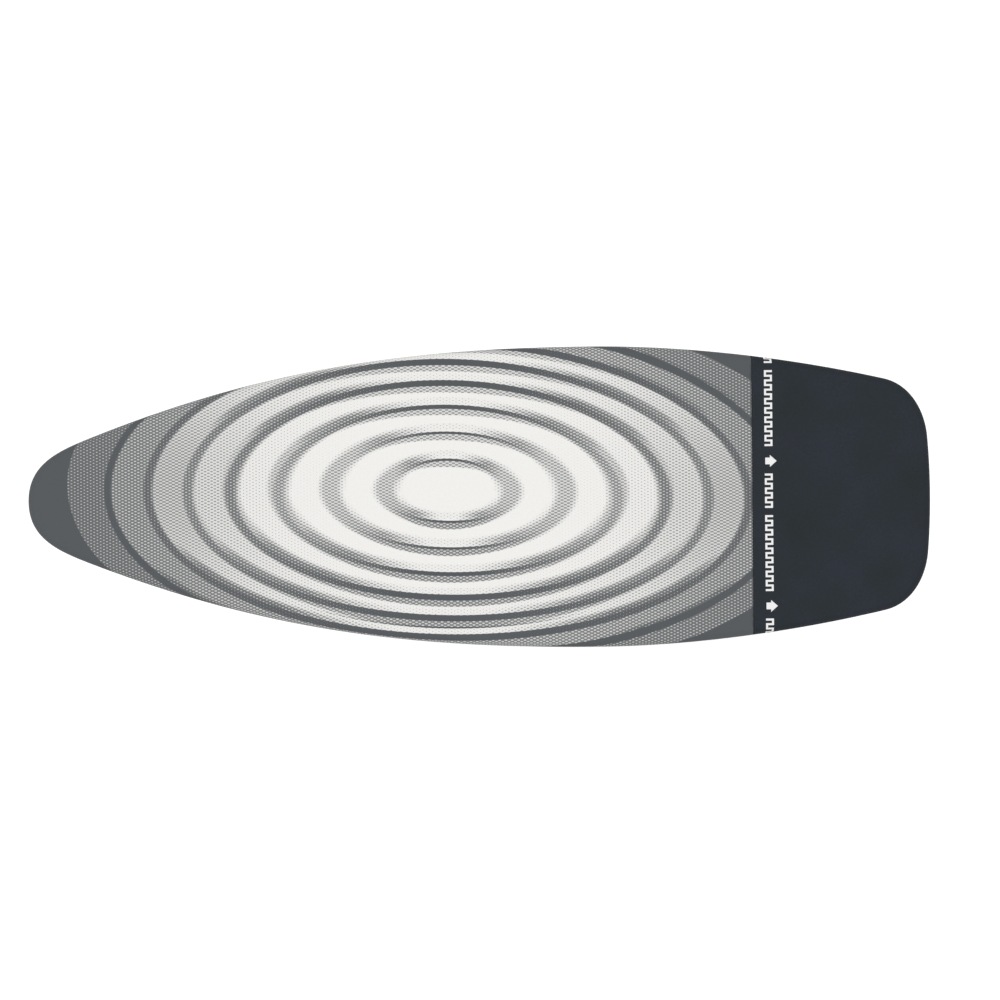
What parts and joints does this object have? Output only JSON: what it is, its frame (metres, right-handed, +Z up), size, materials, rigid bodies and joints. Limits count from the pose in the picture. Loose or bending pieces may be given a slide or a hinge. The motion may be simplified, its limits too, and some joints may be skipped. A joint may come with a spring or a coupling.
{
  "type": "ironing board",
  "caption": "Folding ironing board: padded printed cover with a dark heat zone on a steel mesh top, scissor legs with a sliding carriage, height lever and transport hook.",
  "frame": {"origin": "on the floor under the middle of the board's length and width", "axes": "+X towards the broad end with the heat zone, +Y towards the side away from the height lever, +Z up"},
  "size_m": [1.35, 0.45, 0.9199],
  "materials": {
    "printed_cotton": "printed cotton twill, matt",
    "heat_zone_cloth": "coated heat-resistant cloth, slight sheen",
    "hem_tape": "woven tape, matt",
    "drawstring_cord": "braided cord, matt",
    "foam": "open-cell foam, matt",
    "felt": "needled felt, matt",
    "mesh_steel": "powder coated expanded steel",
    "frame_paint": "powder coated, satin",
    "leg_paint": "powder coated, satin",
    "zinc_steel": "zinc plated, bright",
    "black_plastic": "moulded, fine texture",
    "grey_plastic": "moulded, fine texture",
    "foot_rubber": "soft, matt"
  },
  "bodies": {
    "board_frame": {"cover_fabric": "printed_cotton", "heat_zone_fabric": "heat_zone_cloth", "hem_binding": "hem_tape", "drawstring": "drawstring_cord", "cord_lock": "black_plastic", "cord_lock_spring": "zinc_steel", "foam_layer": "foam", "felt_layer": "felt", "mesh_top": "mesh_steel", "edge_frame": "frame_paint", "cross_member_1": "frame_paint", "cross_member_2": "frame_paint", "cross_member_3": "frame_paint", "cross_member_4": "frame_paint", "cross_member_5": "frame_paint", "slide_rail_left": "zinc_steel", "slide_rail_right": "zinc_steel", "lock_rod": "zinc_steel", "rod_mount_front": "frame_paint", "rod_mount_rear": "frame_paint", "leg_bracket_left": "frame_paint", "leg_bracket_right": "frame_paint", "leg_pivot_left": "zinc_steel", "leg_pivot_right": "zinc_steel", "bar_bearing_front": "grey_plastic", "bar_bearing_rear": "grey_plastic", "lever_spring": "zinc_steel", "hook_bracket": "frame_paint", "hook_pin": "zinc_steel"},
    "outer_legs": {"outer_leg_left": "leg_paint", "outer_leg_right": "leg_paint", "outer_leg_brace": "leg_paint", "outer_foot_bar": "leg_paint", "outer_foot_cap_left": "foot_rubber", "outer_foot_cap_right": "foot_rubber", "cross_pivot_left": "zinc_steel", "cross_pivot_right": "zinc_steel", "cross_spacer_left": "black_plastic", "cross_spacer_right": "black_plastic"},
    "inner_legs": {"inner_leg_left": "leg_paint", "inner_leg_right": "leg_paint", "inner_leg_brace": "leg_paint", "inner_foot_bar": "leg_paint", "inner_foot_cap_left": "foot_rubber", "inner_foot_cap_right": "foot_rubber"},
    "carriage": {"carriage_housing": "black_plastic", "slide_block_left": "grey_plastic", "slide_block_right": "grey_plastic", "slider_axle": "zinc_steel", "axle_cap_left": "zinc_steel", "axle_cap_right": "zinc_steel", "lock_spring": "zinc_steel"},
    "release_lever": {"release_bar": "zinc_steel", "release_blade": "zinc_steel", "lever_grip": "black_plastic"},
    "lock_plate": {"lock_plate": "zinc_steel"},
    "transport_hook": {"transport_hook": "black_plastic"},
    "cord_lock_button": {"cord_lock_button": "grey_plastic"}
  },
  "joints": [
    {"name": "leg_fold", "type": "hinge", "parent": "board_frame", "child": "outer_legs", "pos_m": [-0.2, 0, 0.848], "axis": [0, 1, 0], "range_deg": [-50.7, 6]},
    {"name": "leg_cross", "type": "hinge", "parent": "outer_legs", "child": "inner_legs", "pos_m": [0.05646, 0, 0.53455], "axis": [0, 1, 0], "range_deg": [-12.1, 101.5]},
    {"name": "carriage_level", "type": "hinge", "parent": "inner_legs", "child": "carriage", "pos_m": [0.31293, 0, 0.848], "axis": [0, 1, 0], "range_deg": [-50.8, 6.1]},
    {"name": "release_lever", "type": "hinge", "parent": "board_frame", "child": "release_lever", "pos_m": [0, -0.065, 0.88346], "axis": [-1, 0, 0], "range_deg": [0, 5], "stiffness_Nm_per_rad": 8, "springref_deg": -8.59},
    {"name": "lock_plate_tilt", "type": "hinge", "parent": "carriage", "child": "lock_plate", "pos_m": [0.29693, 0, 0.8575], "axis": [0, 1, 0], "range_deg": [0, 6.1]},
    {"name": "hook_swing", "type": "hinge", "parent": "board_frame", "child": "transport_hook", "pos_m": [-0.481, 0, 0.8848], "axis": [0, 1, 0], "range_deg": [-90, 0]},
    {"name": "cord_lock_press", "type": "slide", "parent": "board_frame", "child": "cord_lock_button", "axis": [0, 0, 1], "range_m": [0, 0.003], "stiffness_N_per_m": 400, "springref_m": -0.004, "deforming": ["cord_lock_spring"]}
  ],
  "couplings": [
    {"joint": "leg_cross", "follows": "leg_fold", "ratio": -2},
    {"joint": "carriage_level", "follows": "leg_fold", "ratio": 1},
    {"joint": "lock_plate_tilt", "follows": "release_lever", "ratio": 1.2}
  ]
}
